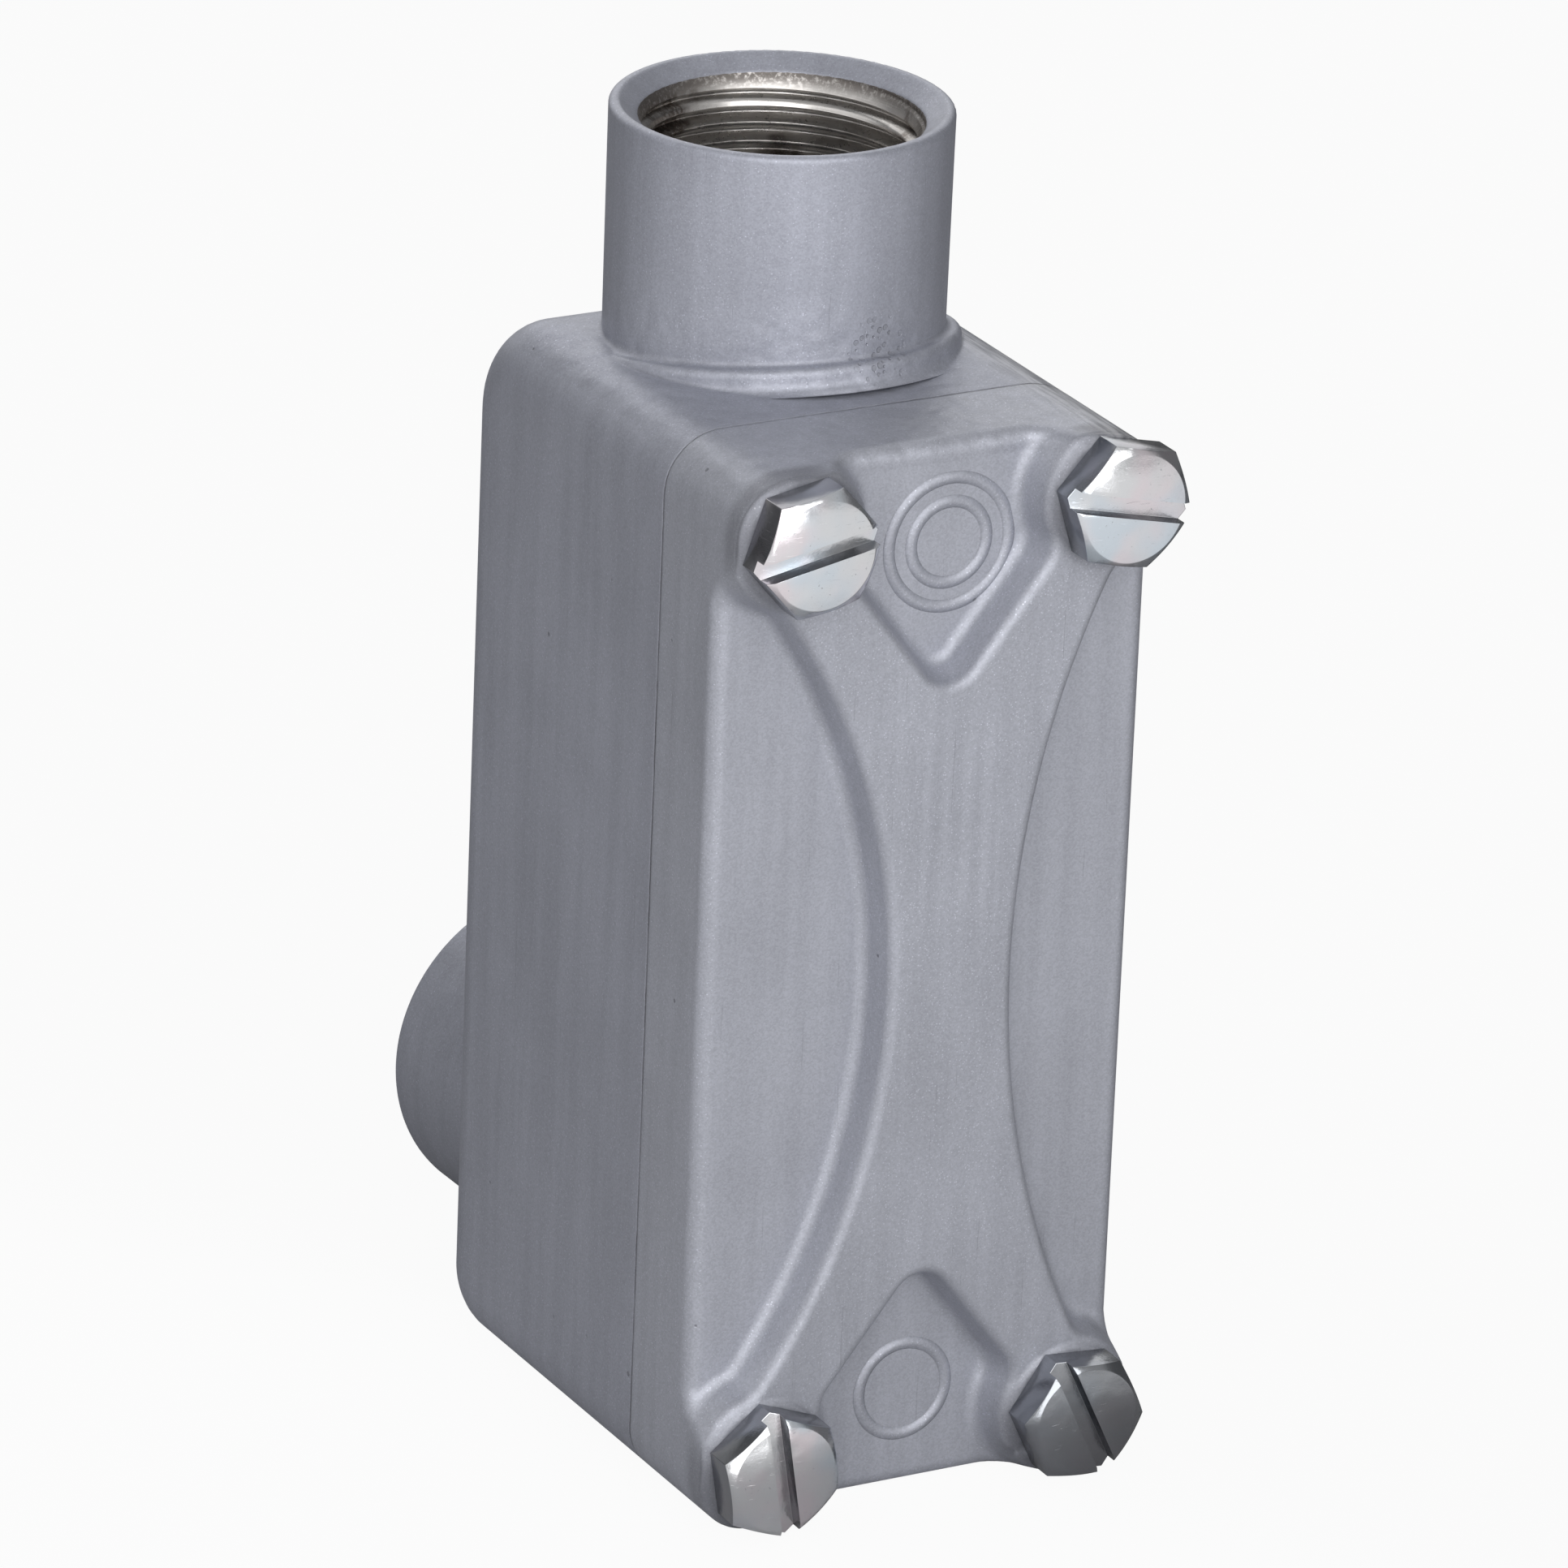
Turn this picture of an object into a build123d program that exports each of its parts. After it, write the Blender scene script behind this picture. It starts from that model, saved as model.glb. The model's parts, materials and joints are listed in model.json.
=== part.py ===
from build123d import *
from math import atan2, cos, radians, tan
import os

# Explosion-proof conduit body of the elbow pattern: a hollow casting with one threaded hub on top
# and one at the back, closed by a thick ground-joint cover and four slotted hex-head screws.
# Millimetres. X is the width, -Y is the cover's side, +Z is up along the top hub.
# The origin is on the flat bottom, straight below the top hub's axis.

# Casting
body_width = 44.9
body_height = 103.7
joint_to_axis = 21.5
axis_to_rear = 18.9
side_edge_radius = 5.6
ground_edge_radius = 8.2
rear_top_radius = 9.8
rear_bottom_radius = 7.0
wall = 4.5
chamber_radius = 4.0
flange_width = 9.6
flange_depth = 5.0
opening_corner_radius = 4.0

# Hubs
top_hub_length = 22.2
top_hub_rim_radius = 16.0
top_hub_root_radius = 15.9
rear_hub_length = 21.5
rear_hub_rim_radius = 16.6
rear_hub_root_radius = 16.2
rear_hub_height = 16.8
rear_hub_fillet = 1.2
hub_rim_round = 0.5
bore_radius = 13.3
thread_length = 19.0
mouth_cone_depth = 1.4
mouth_lip_width = 0.4
throat_radius = 10.2
throat_lip_radius = 2.0

# Collar round the foot of the top hub, leaning back so that its front half stands proud
collar_radius = 17.4
collar_round = 0.7
collar_blend = 0.8
collar_flare = 1.1
collar_height = 2.4
collar_lean = 8.5

# Cover
cover_edge_thickness = 10.75
cover_edge_round = 1.5
relief_height = 3.75
relief_draft = 16.0
relief_rise = 0.4
waist_left = 4.7
waist_right = 7.8
waist_arc_end = 8.5
notch_drop = 18.3
notch_lead = 2.2
notch_tip_radius = 3.2
relief_corner_radius = 3.0
relief_root_fillet = 1.2
relief_edge_fillet = 1.0
boss_root_radius = 7.8
seat_radius = 5.9
seat_height = 0.4
seat_draft = 45.0

# Cover screws
screw_inset = 6.45
screw_radius = 3.17
screw_clearance = 0.05
cover_hole_clearance = 0.4
screw_engagement = 12.0
hole_spare_depth = 2.0
post_radius = 5.4
head_across_flats = 11.1
head_height = 3.7
head_face_radius = 5.2
head_chamfer_angle = 30.0
slot_width = 1.9
slot_depth = 1.6
tip_chamfer = 0.8
screw_turns = {"top_left": 10.8, "top_right": -12.7, "bottom_left": -80.5, "bottom_right": -64.5}

half_width = body_width / 2
mid_height = body_height / 2
cover_thickness = cover_edge_thickness + relief_height
draft_run = relief_height * tan(radians(relief_draft))
screw_x = half_width - screw_inset
screw_z = mid_height - screw_inset
hole_radius = screw_radius + screw_clearance
hole_depth = screw_engagement + hole_spare_depth
seat_level = cover_thickness + seat_height
nudge = 0.01
upright = (Align.CENTER, Align.CENTER, Align.MIN)

# Local axes: z leaves the mating face, and on the joint face y is up.
# The relief and the screws are centred a little above the middle of the joint face.
joint_plane = Plane(origin=(0, -joint_to_axis, mid_height + relief_rise), x_dir=(1, 0, 0), z_dir=(0, -1, 0))
top_hub_plane = Plane(origin=(0, 0, body_height), x_dir=(1, 0, 0), z_dir=(0, 0, 1))
rear_hub_plane = Plane(origin=(0, axis_to_rear, rear_hub_height), x_dir=(1, 0, 0), z_dir=(0, 1, 0))


def side_profile(inset, front):
    """Side view of the casting, inset from its top, back and bottom and starting at a given y."""
    corners = [
        (front, inset),
        (axis_to_rear - inset, inset),
        (axis_to_rear - inset, body_height - inset),
        (front, body_height - inset),
    ]
    profile = make_face(Polyline(corners, close=True))
    rear = profile.vertices().group_by(Axis.X)[-1].sort_by(Axis.Y)
    profile = fillet(rear[0], rear_bottom_radius - inset)
    top = profile.vertices().filter_by(lambda v: abs(v.Y - body_height + inset) < nudge)
    top_rear = top.sort_by(Axis.X)[-1]
    return fillet(top_rear, rear_top_radius - inset)


def slab(profile, width):
    """The side view given its width, centred on the middle plane."""
    return Plane.YZ * extrude(profile, width / 2, both=True)


def is_side_edge(edge, half, front):
    """True on the edges that run round the back of a slab, along one of its two side faces."""
    middle = edge @ 0.5
    return abs(abs(middle.X) - half) < nudge and middle.Y > front + nudge


def joint_outline():
    """Outline of the joint face, whose top right corner is ground back further than the rest."""
    outline = Pos(0, -relief_rise) * Rectangle(body_width, body_height)
    corners = outline.vertices().sort_by(lambda v: v.X + v.Y)
    outline = fillet(corners[:3], side_edge_radius)
    return fillet(outline.vertices().sort_by(lambda v: v.X + v.Y)[-1], ground_edge_radius)


def ground_edge():
    """What the grinding took off the casting's top right edge."""
    radius = ground_edge_radius
    corner = Rectangle(2 * radius, 2 * radius, align=(Align.MIN, Align.MIN)) - Circle(radius)
    middle = (half_width - radius, axis_to_rear, body_height - radius)
    length = axis_to_rear + joint_to_axis
    return Plane(origin=middle, x_dir=(1, 0, 0), z_dir=(0, -1, 0)) * extrude(corner, length)


def casting_block():
    """The outside of the box, with its long edges rounded up to the cover joint."""
    block = slab(side_profile(0, -joint_to_axis), body_width)
    edges = block.edges().filter_by(lambda e: is_side_edge(e, half_width, -joint_to_axis))
    return fillet(edges, side_edge_radius)


def hub(length, root_radius, rim_radius, depth):
    """A drafted hub, turned about local z, from a depth below its face to its rim."""
    shoulder = (rim_radius, length - hub_rim_round)
    rim = (rim_radius - hub_rim_round, length)
    outline = [
        Line((0, -depth), (root_radius, -depth)),
        Line((root_radius, -depth), (root_radius, 0)),
        Line((root_radius, 0), shoulder),
        TangentArc(shoulder, rim, tangent=(0, 1)),
        Line(rim, (0, length)),
        Line((0, length), (0, -depth)),
    ]
    return revolve(Plane.XZ * make_face(outline), Axis.Z)


def collar():
    """The leaning collar, with a hollow blend up to the hub and a flare out at its foot."""
    drop = collar_height - collar_flare
    ledge = top_hub_root_radius - nudge
    outline = [
        Line((0, -rear_top_radius), (collar_radius, -rear_top_radius)),
        Line((collar_radius, -rear_top_radius), (collar_radius, -collar_height - nudge)),
        Line((collar_radius, -collar_height - nudge), (collar_radius + collar_flare, -collar_height)),
        TangentArc((collar_radius + collar_flare, -collar_height), (collar_radius, -drop), tangent=(-1, 0)),
        Line((collar_radius, -drop), (collar_radius, -collar_round)),
        TangentArc((collar_radius, -collar_round), (collar_radius - collar_round, 0), tangent=(0, 1)),
        TangentArc((collar_radius - collar_round, 0), (ledge, collar_blend), tangent=(-1, 0)),
        Line((ledge, collar_blend), (0, collar_blend)),
        Line((0, collar_blend), (0, -rear_top_radius)),
    ]
    return Rot(-collar_lean, 0, 0) * revolve(Plane.XZ * make_face(outline), Axis.Z)


def hub_bore(length, rim_radius, depth):
    """The threaded bore at its major size, its coned mouth and the rounded throat that guards the wires."""
    mouth_radius = rim_radius - hub_rim_round - mouth_lip_width
    stop = length - thread_length
    lip = throat_lip_radius
    outline = [
        Line((0, -depth), (throat_radius + lip, -depth)),
        Line((throat_radius + lip, -depth), (throat_radius + lip, -wall)),
        TangentArc((throat_radius + lip, -wall), (throat_radius, lip - wall), tangent=(-1, 0)),
        Line((throat_radius, lip - wall), (throat_radius, stop - lip)),
        TangentArc((throat_radius, stop - lip), (throat_radius + lip, stop), tangent=(0, 1)),
        Line((throat_radius + lip, stop), (bore_radius, stop)),
        Line((bore_radius, stop), (bore_radius, length - mouth_cone_depth)),
        Line((bore_radius, length - mouth_cone_depth), (mouth_radius, length)),
        Line((mouth_radius, length), (0, length)),
        Line((0, length), (0, -depth)),
    ]
    return revolve(Plane.XZ * make_face(outline), Axis.Z)


def screw_places():
    """Where the four screws stand on the joint face, by name."""
    x = screw_x
    z = screw_z
    return {"top_left": (-x, z), "top_right": (x, z), "bottom_left": (-x, -z), "bottom_right": (x, -z)}


def chamber():
    """The wiring space: the cored box behind the flange, less the screw posts, and its opening."""
    inner_half = half_width - wall
    front = -joint_to_axis + flange_depth
    space = slab(side_profile(wall, front), 2 * inner_half)
    edges = space.edges().filter_by(lambda e: is_side_edge(e, inner_half, front))
    space = fillet(edges, chamber_radius)
    post_length = hole_depth + post_radius
    post = Cylinder(post_radius, post_length, align=upright)
    for x, z in screw_places().values():
        space -= joint_plane * (Pos(x, z, -post_length) * post)
    opening = RectangleRounded(
        body_width - 2 * flange_width,
        2 * (screw_z - post_radius),
        opening_corner_radius,
    )
    return space + joint_plane * extrude(opening, -flange_depth - nudge)


def is_hub_foot(edge, axis, radius):
    """True on the edges where a hub meets the casting."""
    for share in (0.1, 0.5, 0.9):
        offset = edge @ share - axis.position
        along = offset.dot(axis.direction)
        if along > nudge or abs((offset - axis.direction * along).length - radius) > nudge:
            return False
    return True


def conduit_body():
    """The whole casting: box, both hubs, wiring space, bores and tapped holes."""
    casting = casting_block() - ground_edge()
    rear_hub = hub(rear_hub_length, rear_hub_root_radius, rear_hub_rim_radius, rear_bottom_radius)
    casting += rear_hub_plane * rear_hub
    axis = Axis(rear_hub_plane.origin, rear_hub_plane.z_dir)
    foot = casting.edges().filter_by(lambda e: is_hub_foot(e, axis, rear_hub_root_radius))
    casting = fillet(foot, rear_hub_fillet)
    casting += top_hub_plane * collar()
    casting += top_hub_plane * hub(top_hub_length, top_hub_root_radius, top_hub_rim_radius, rear_top_radius)
    casting -= chamber()
    casting -= top_hub_plane * hub_bore(top_hub_length, top_hub_rim_radius, rear_top_radius)
    casting -= rear_hub_plane * hub_bore(rear_hub_length, rear_hub_rim_radius, rear_bottom_radius)
    tapped_hole = Cylinder(hole_radius, hole_depth, align=upright)
    for x, z in screw_places().values():
        casting -= joint_plane * (Pos(x, z, -hole_depth) * tapped_hole)
    return casting


def boss_discs(radius):
    """Discs round the four screws, in the joint face's axes."""
    return Sketch() + [Pos(x, z) * Circle(radius) for x, z in screw_places().values()]


def side_recess(grow, waist):
    """Outline of the recess to the right of a waist, whose arc comes level with the screws near them."""
    reach = half_width + relief_height
    rise = screw_z - waist_arc_end
    run = screw_x - waist
    arc_radius = (rise**2 + run**2) / (2 * run)
    outline = Pos(waist + arc_radius, 0) * Circle(arc_radius - draft_run + grow)
    outline &= Pos(reach / 2, 0) * Rectangle(reach, 2 * screw_z)
    outline -= boss_discs(boss_root_radius - grow)
    face = outline.faces().sort_by(SortBy.AREA)[-1]
    corners = face.vertices().filter_by(lambda v: v.X < half_width)
    return fillet(corners, relief_corner_radius)


def end_recess(grow):
    """Outline of the top recess, a notch whose sides pass the screws; grow widens it for the draft."""
    slope = atan2(notch_drop + notch_lead, screw_x)
    tip = screw_z - notch_drop + (draft_run - grow) / cos(slope)
    top = mid_height + relief_height
    half = (top - tip) / tan(slope)
    outline = make_face(Polyline((0, tip), (half, top), (-half, top), close=True))
    outline = fillet(outline.vertices().sort_by(Axis.Y)[0], notch_tip_radius - draft_run + grow)
    outline -= boss_discs(boss_root_radius - grow)
    face = outline.faces().sort_by(SortBy.AREA)[-1]
    low = tip + 2 * notch_tip_radius
    corners = face.vertices().filter_by(lambda v: low < v.Y < screw_z + boss_root_radius)
    return fillet(corners, relief_corner_radius)


def recess(outline, *size):
    """A drafted pocket from the recessed level up to the relief's level."""
    floor = Pos(0, 0, cover_edge_thickness) * outline(0, *size)
    mouth = Pos(0, 0, cover_thickness) * outline(draft_run, *size)
    return loft([floor.face(), mouth.face()], ruled=True)


def lies_at(edge, level):
    """True on an edge that lies flat at a level above the joint face."""
    box = edge.bounding_box()
    return abs(box.min.Z - level) < nudge and abs(box.max.Z - level) < nudge


def on_outline(edge):
    """True on an edge that lies in one of the cover's four side faces."""
    middle = edge @ 0.5
    return abs(abs(middle.X) - half_width) < nudge or abs(abs(middle.Y + relief_rise) - mid_height) < nudge


def cover():
    """The cover with its raised hourglass, its screw seats and its clearance holes."""
    plate = extrude(joint_outline(), cover_thickness)
    end = recess(end_recess)
    plate -= mirror(recess(side_recess, waist_left), Plane.YZ)
    plate -= recess(side_recess, waist_right)
    plate -= end
    plate -= mirror(end, Plane.XZ)
    roots = plate.edges().filter_by(lambda e: lies_at(e, cover_edge_thickness) and not on_outline(e))
    plate = fillet(roots, relief_root_fillet)
    rims = plate.edges().filter_by(lambda e: lies_at(e, cover_thickness))
    plate = fillet(rims, relief_edge_fillet)
    outer = plate.edges().filter_by(lambda e: lies_at(e, cover_edge_thickness) and on_outline(e))
    plate = fillet(outer, cover_edge_round)
    bounds = extrude(joint_outline(), seat_level)
    root = relief_edge_fillet / 2
    seat_base = seat_radius + (seat_height + root) * tan(radians(seat_draft))
    seat = Cone(seat_base, seat_radius, seat_height + root, align=upright)
    for x, z in screw_places().values():
        plate += Pos(x, z, cover_thickness - root) * seat & bounds
    hole = Cylinder(screw_radius + cover_hole_clearance, seat_level, align=upright)
    for x, z in screw_places().values():
        plate -= Pos(x, z, 0) * hole
    return joint_plane * plate


def cover_screw(place, turn):
    """A hex-head screw with a slot across two corners of its chamfered head."""
    head = extrude(RegularPolygon(head_across_flats / 2, 6, major_radius=False, rotation=0), head_height)
    crown_base = head_face_radius + head_height / tan(radians(head_chamfer_angle))
    head &= Cone(crown_base, head_face_radius, head_height, align=upright)
    slot = Box(2 * head_across_flats, slot_width, slot_depth, align=upright)
    slot = Pos(0, 0, head_height - slot_depth) * slot
    shank_length = seat_level + screw_engagement
    shank = Pos(0, 0, -shank_length) * Cylinder(screw_radius, shank_length, align=upright)
    shank = chamfer(shank.edges().sort_by(Axis.Z)[0], tip_chamfer)
    screw = (head - slot) + shank
    return joint_plane * (Pos(place[0], place[1], seat_level) * Rot(0, 0, turn) * screw)


os.makedirs("parts", exist_ok=True)
export_step(conduit_body(), "parts/conduit_body.step")
export_step(cover(), "parts/cover.step")
for name, place in screw_places().items():
    export_step(cover_screw(place, screw_turns[name]), f"parts/cover_screw_{name}.step")
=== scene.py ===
import json
from math import cos, pi, radians, sin, tau

import bmesh
import bpy
from bpy.props import FloatProperty, FloatVectorProperty, IntProperty, PointerProperty
from mathutils import Matrix, Vector


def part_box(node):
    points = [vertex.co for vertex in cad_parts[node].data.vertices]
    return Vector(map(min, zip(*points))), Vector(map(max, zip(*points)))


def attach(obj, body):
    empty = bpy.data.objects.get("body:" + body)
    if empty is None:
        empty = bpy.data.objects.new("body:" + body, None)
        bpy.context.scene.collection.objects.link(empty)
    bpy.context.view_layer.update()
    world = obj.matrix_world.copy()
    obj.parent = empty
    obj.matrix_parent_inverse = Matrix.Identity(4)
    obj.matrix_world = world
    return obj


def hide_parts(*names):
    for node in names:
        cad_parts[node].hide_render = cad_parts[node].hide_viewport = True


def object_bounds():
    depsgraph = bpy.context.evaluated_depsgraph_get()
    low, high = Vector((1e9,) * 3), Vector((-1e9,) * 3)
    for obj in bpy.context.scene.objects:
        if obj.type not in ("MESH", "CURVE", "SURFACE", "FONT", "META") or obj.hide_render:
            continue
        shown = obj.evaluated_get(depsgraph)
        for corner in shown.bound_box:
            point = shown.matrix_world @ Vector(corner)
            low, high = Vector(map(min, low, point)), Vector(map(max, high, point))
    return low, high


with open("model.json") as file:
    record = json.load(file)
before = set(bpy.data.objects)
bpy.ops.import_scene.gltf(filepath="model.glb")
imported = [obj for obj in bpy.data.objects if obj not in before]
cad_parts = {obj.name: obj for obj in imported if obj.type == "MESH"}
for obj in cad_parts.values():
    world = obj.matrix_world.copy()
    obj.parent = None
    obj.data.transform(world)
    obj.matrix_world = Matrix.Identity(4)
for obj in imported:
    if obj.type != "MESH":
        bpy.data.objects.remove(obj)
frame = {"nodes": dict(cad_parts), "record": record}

bl_info = {
    "name": "Conduit Body Looks",
    "version": (1, 0, 0),
    "blender": (4, 5, 0),
    "location": "View3D > Sidebar > Conduit Body",
    "description": "Finishes, threads, cast rings and screws of a cast elbow conduit body, and its stage",
    "category": "Object",
}

CAD_LOW, CAD_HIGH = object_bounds()
MM = 0.001
SCREW_PLACES = ("top_left", "top_right", "bottom_left", "bottom_right")
MOUNTS = {mount["name"]: mount for mount in frame["record"]["mounts"]}
JOINT_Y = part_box("cover")[1].y
SEAT_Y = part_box("cover")[0].y

# Centre, reach and spacing of a patch of dots in millimetres, and a dot's share of the spacing
PORE_PATCHES = (((2.2, -15.8, 106.6), 4.2, 0.62, 0.55), ((-22.4, -17.0, 12.0), 9.0, 1.9, 0.26))
SPECK_PATCH = ((0, 0, 60), 400, 1.5, 0.085)

# Share by which each kind of wear, and the painted shade round the screw seats, covers the paint, and its
# colour
PITS = (0.55, (0.10, 0.10, 0.11))
PORES = (0.28, (0.15, 0.15, 0.16))
# Painted shade round the screw heads, mixed with grime
SEAT_SHADE_AND_GRIME = (1.0, (0.07, 0.07, 0.08))
MARKS = (0.16, (0.16, 0.16, 0.18))
JOINT_DIRT = (0.58, (0.055, 0.055, 0.060))
SPECKS = (0.55, (0.72, 0.72, 0.76))
GROUND_SHARE = 0.62

# Darkest and lightest tone of filed metal, of the lapped joint face, and of slow changes in the paint
FILED_TONES = ((0.20, 0.20, 0.21), (0.62, 0.62, 0.64))
LAPPED_TONES = ((0.44, 0.44, 0.44), (0.60, 0.60, 0.61))
TONE_DRIFT = (0.955, 1.035)

# Height of each feature on the paint, in parts of the sand grain's depth
RISES = {"joint": -2.5, "foot": 13.0, "filed": 2.0, "marks": -0.5, "pores": -4.0, "ridges": 0.9}

# Colours that vary the bright zinc, among them painted shade on the head's sides and in the thread's
# roots and a painted dark reflection on one screw
WARM_ZINC = (0.76, 0.70, 0.73)
COOL_ZINC = (0.64, 0.70, 0.76)
WORN_ZINC = (0.42, 0.43, 0.45)
SIDE_SHADE_ZINC = (0.20, 0.205, 0.22)
ROOT_SHADE_ZINC = (0.06, 0.06, 0.065)
DARK_REFLECTION_ZINC = (0.26, 0.27, 0.29)

# Brightest tone of the hubs' cut thread
BRIGHT_CUT = (0.70, 0.68, 0.66)

# Depth in millimetres to which paint reaches into a hub's mouth
SPRAY_DEPTH = 1.9

# Flat share of a thread's pitch at crest and root, and points along one pitch
HUB_FLATS = (0.14, 0.14)
SCREW_FLATS = (0.16, 0.20)
HUB_POINTS = 12
SCREW_POINTS = 8

# Gap in metres between a thread and the solid round it or in it
HUB_CLEARANCE = 0.00004
SCREW_CLEARANCE = 0.00002

# Loss of radius at a screw's tip and depth of the shank inside the head, in metres
TIP_DROP = 0.0011
BURIED = 0.0006

# Depth in metres below a screw seat at which the shank starts for sure
JUST_BELOW = 0.00002

# Azimuth and elevation of a dark screen's middle, and where its edge starts and stops fading, in degrees
DARK_SCREENS = ((100, 5, 34, 52), (-120, -10, 30, 50), (-138, 50, 14, 30))
SCREEN_SHARE = 0.92

# Name, azimuth and elevation in degrees, distance and side in metres, and level of each lamp
LAMPS = (("key", -15.0, 24.0, 0.9, 1.10, 1.17), ("side", -95.0, 35.0, 0.9, 0.90, 0.20),
         ("back", 165.0, 35.0, 0.9, 0.90, 0.33))


# Sizes and colours that a user would change

def length(name, description, default):
    """A length property in metres."""
    return FloatProperty(name=name, description=description, default=default, precision=5,
                         unit="LENGTH", subtype="DISTANCE")


def share(name, description, default):
    """A plain share from 0 to 1."""
    return FloatProperty(name=name, description=description, default=default, min=0, max=1,
                         subtype="FACTOR")


def colour(name, description, default):
    """A linear colour."""
    return FloatVectorProperty(name=name, description=description, default=default, size=3,
                               min=0, max=1, subtype="COLOR")


def angle(name, description, default):
    """An angle property, given in degrees and stored in radians."""
    return FloatProperty(name=name, description=description, default=radians(default),
                         unit="ROTATION", subtype="ANGLE")


class PaintLooks(bpy.types.PropertyGroup):
    """The grey flake paint on the casting and the cover."""

    body_colour: colour("Body paint", "Paint on the casting", (0.360, 0.370, 0.424))
    cover_colour: colour("Cover paint", "Paint on the cover", (0.392, 0.402, 0.452))
    roughness: share("Gloss loss", "Roughness of the dry paint", 0.44)
    metal_share: share("Flake share", "How much of the paint shines like metal", 0.42)
    flake_size: length("Flake size", "Size of one bright flake in the paint", 0.00016)
    grain_size: length("Grain size", "Size of the sand's grain under the paint", 0.0009)
    grain_depth: length("Grain depth", "Depth of the sand's grain", 0.000022)
    peel_size: length("Peel size", "Width of the ripples in the paint", 0.0030)
    pit_spacing: length("Pit spacing", "Usual distance between two cast pits", 0.0052)
    edge_softness: length("Edge softness", "How far the paint rounds edges and corners", 0.0006)
    joint_width: length("Joint line", "Width of the line where cover and casting meet", 0.00016)


class ThreadSizes(bpy.types.PropertyGroup):
    """The taper thread in both hubs."""

    pitch: length("Pitch", "Distance from one thread to the next", 0.0018143)
    depth: length("Depth", "Height of one thread", 0.00122)
    wall: length("Backing", "How far the thread's shell lies inside the hub's wall", 0.0004)
    taper: FloatProperty(name="Taper", description="Loss of radius for each length of depth",
                         default=1 / 32)
    lead_slope: FloatProperty(name="Lead in", default=0.42,
                              description="Radius gained for each length of the coned mouth")
    segments: IntProperty(name="Segments", description="Points round one turn", default=112, min=24)
    colour: colour("Cut metal", "Freshly cut thread", (0.47, 0.45, 0.43))
    overspray: colour("Overspray", "Paint and dust on the first turn", (0.17, 0.155, 0.145))
    stain: colour("Stain", "Brown stain left by cutting oil", (0.09, 0.065, 0.05))


class RingSizes(bpy.types.PropertyGroup):
    """The plain cast rings on the cover's recessed ends."""

    recess: length("Recess", "Depth of the recessed ends below the screw seats", 0.00415)
    height: length("Height", "How far a ring stands up", 0.00027)
    half_width: length("Half width", "Half of a ring's width", 0.00062)
    top_radius: length("Top ring", "Radius of the top ring", 0.0062)
    top_inner_radius: length("Top inner ring", "Radius of the ring inside the top ring", 0.0039)
    bottom_radius: length("Bottom ring", "Radius of the bottom ring", 0.0046)
    top_x: length("Top offset", "Top rings' distance from the middle plane", 0.0012)
    bottom_x: length("Bottom offset", "Bottom ring's distance from the middle plane", 0.0004)
    end_distance: length("End distance", "Distance of the rings' centres from the cover's ends", 0.0098)


class ScrewLooks(bpy.types.PropertyGroup):
    """The four cover screws."""

    pitch: length("Pitch", "Distance from one thread to the next", 0.00127)
    depth: length("Depth", "Height of one thread", 0.00072)
    edge_round: length("Edge round", "Rounding of the head's edges", 0.00011)
    tip_length: length("Tip length", "Length of the coned tip", 0.0009)
    runout: length("Runout", "Length over which the thread fades under the head", 0.0016)
    segments: IntProperty(name="Segments", description="Points round one turn", default=40, min=12)
    colour: colour("Zinc", "Bright zinc plate", (0.72, 0.725, 0.74))


class StageLooks(bpy.types.PropertyGroup):
    """Camera, floor and light."""

    azimuth: angle("Azimuth", "Camera's turn round the object from the front", -29.06)
    elevation: angle("Elevation", "Camera's height above the horizon", 21.615)
    roll: angle("Roll", "Camera's tilt about its own axis", 2.369)
    distance: length("Distance", "From the camera to its target", 1.06988)
    target: FloatVectorProperty(name="Target", description="The point the camera looks at",
                                default=(-0.00246, -0.0100, 0.06266), unit="LENGTH", subtype="XYZ")
    lens: FloatProperty(name="Lens", description="Focal length in millimetres", default=264.2)
    floor_radius: length("Floor", "Radius of the round floor", 4.0)
    floor_colour: colour("Floor colour", "Pale floor", (0.70, 0.70, 0.71))
    fill: FloatProperty(name="Fill", default=0.12,
                        description="Strength of the even light from all sides")
    walls: share("Walls", "How bright the studio's walls look in gloss", 0.45)


# Node helpers

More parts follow.
